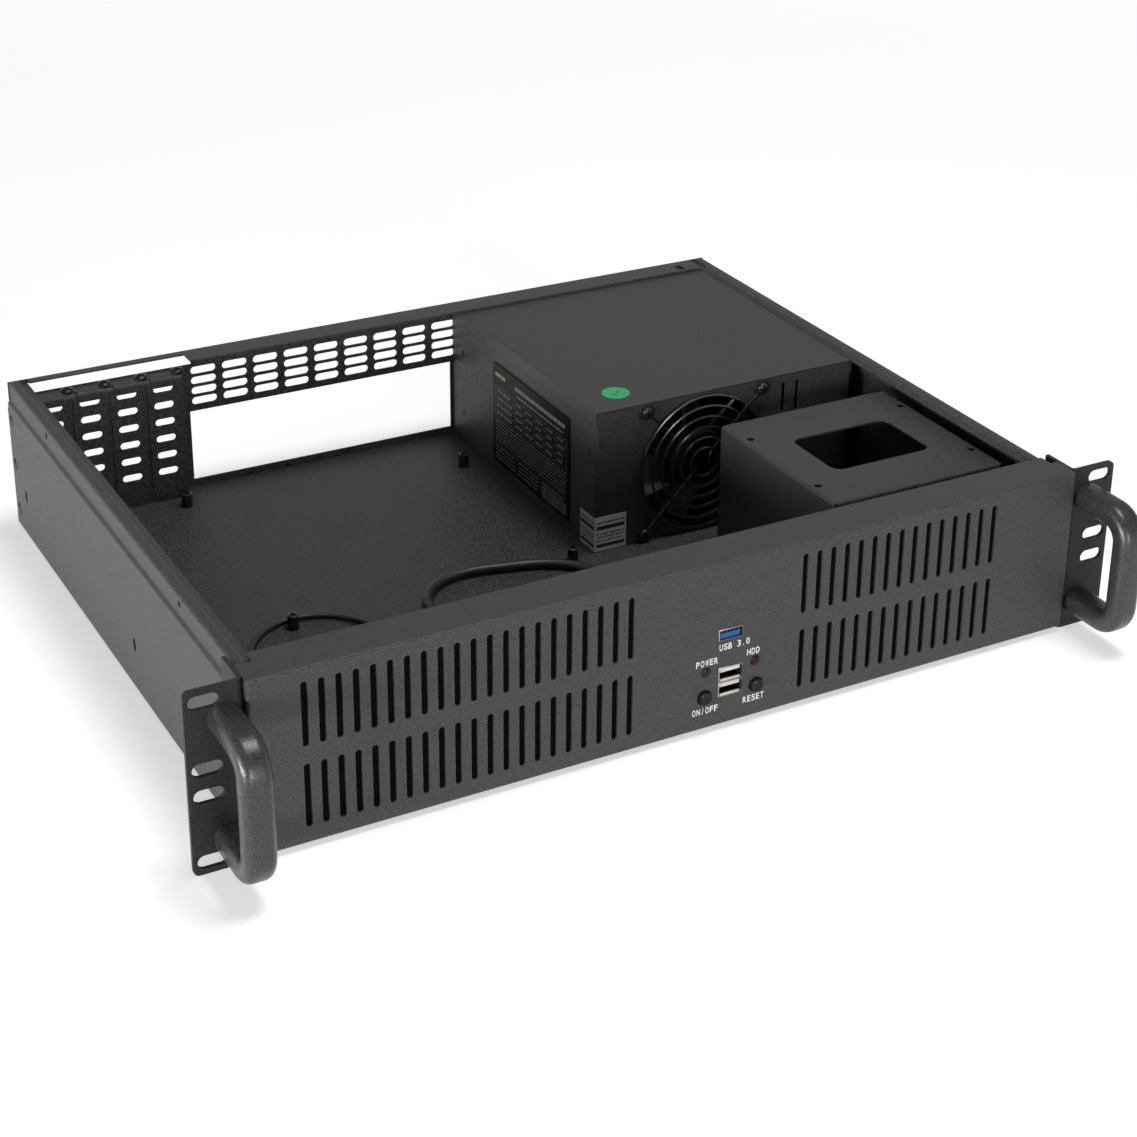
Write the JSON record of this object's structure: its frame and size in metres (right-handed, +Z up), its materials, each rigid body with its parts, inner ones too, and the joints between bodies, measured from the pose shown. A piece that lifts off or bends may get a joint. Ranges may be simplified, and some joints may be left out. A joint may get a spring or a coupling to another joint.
{
  "type": "empty rackmount server case",
  "caption": "Open rackmount server case of two rack units with vented front, bow handles, power supply with guarded fan, drive cage and slot covers; lid off.",
  "frame": {"origin": "under the middle of the bounding box, at the height of the rack ears' lower edges", "axes": "+X to the right as the front is seen, +Y from the front to the back, +Z up"},
  "size_m": [0.4826, 0.392, 0.0881],
  "materials": {
    "black_powder_coat": "fine textured powder coat, matt",
    "black_handle": "semi-gloss black",
    "black_screw": "black oxide, satin",
    "plated_steel": "bright zinc",
    "black_plastic": "matt",
    "button_plastic": "matt",
    "lamp_green": "clear tinted",
    "lamp_red": "tinted",
    "circuit_board": "solder mask",
    "cord_black": "matt",
    "brass": "turned"
  },
  "bodies": {
    "case": {"body_pan": "black_powder_coat", "rear_panel": "black_powder_coat", "slot_frame": "black_powder_coat", "slot_screws": "black_screw", "side_rivets": "black_screw", "board_standoffs": "black_screw", "front_panel": "black_powder_coat", "left_ear": "black_powder_coat", "right_ear": "black_powder_coat", "ear_screws": "black_screw", "left_handle": "black_handle", "right_handle": "black_handle", "handle_screws": "plated_steel", "power_switch_body": "black_plastic", "reset_switch_body": "black_plastic", "power_lamp": "lamp_green", "drive_lamp": "lamp_red", "usb3_port": "plated_steel", "usb2_double_port": "plated_steel", "control_board": "circuit_board", "board_posts": "plated_steel", "board_sockets": "black_plastic", "drive_cage": "black_powder_coat", "cage_screws": "black_screw", "psu_case": "black_powder_coat", "psu_cover": "black_powder_coat", "psu_mount_screws": "black_screw", "psu_inlet": "black_plastic", "psu_rocker_frame": "black_plastic", "fan_frame": "black_plastic", "fan_guard": "black_screw", "fan_screws": "black_screw", "bundle_cord": "cord_black", "bundle_plug": "black_plastic", "lead_cord": "cord_black", "lead_plug": "black_plastic", "slot_cover_1": "black_powder_coat", "slot_cover_2": "black_powder_coat", "slot_cover_3": "black_powder_coat", "slot_cover_4": "black_powder_coat"},
    "fan_rotor": {"fan_rotor": "black_plastic"},
    "power_button": {"power_button": "button_plastic"},
    "reset_button": {"reset_button": "button_plastic"},
    "mains_rocker": {"psu_rocker": "black_plastic"}
  },
  "joints": [
    {"name": "fan_spin", "type": "hinge", "parent": "case", "child": "fan_rotor", "pos_m": [0.1093, 0.032, 0.04415], "axis": [0, 1, 0], "continuous": true},
    {"name": "power_press", "type": "slide", "parent": "case", "child": "power_button", "axis": [0, 1, 0], "range_m": [0, 0.0015], "stiffness_N_per_m": 300, "springref_m": -0.001},
    {"name": "reset_press", "type": "slide", "parent": "case", "child": "reset_button", "axis": [0, 1, 0], "range_m": [0, 0.0015], "stiffness_N_per_m": 300, "springref_m": -0.001},
    {"name": "mains_rock", "type": "hinge", "parent": "case", "child": "mains_rocker", "pos_m": [0.1699, 0.1924, 0.0256], "axis": [0, 0, 1], "range_deg": [0, 14]}
  ]
}
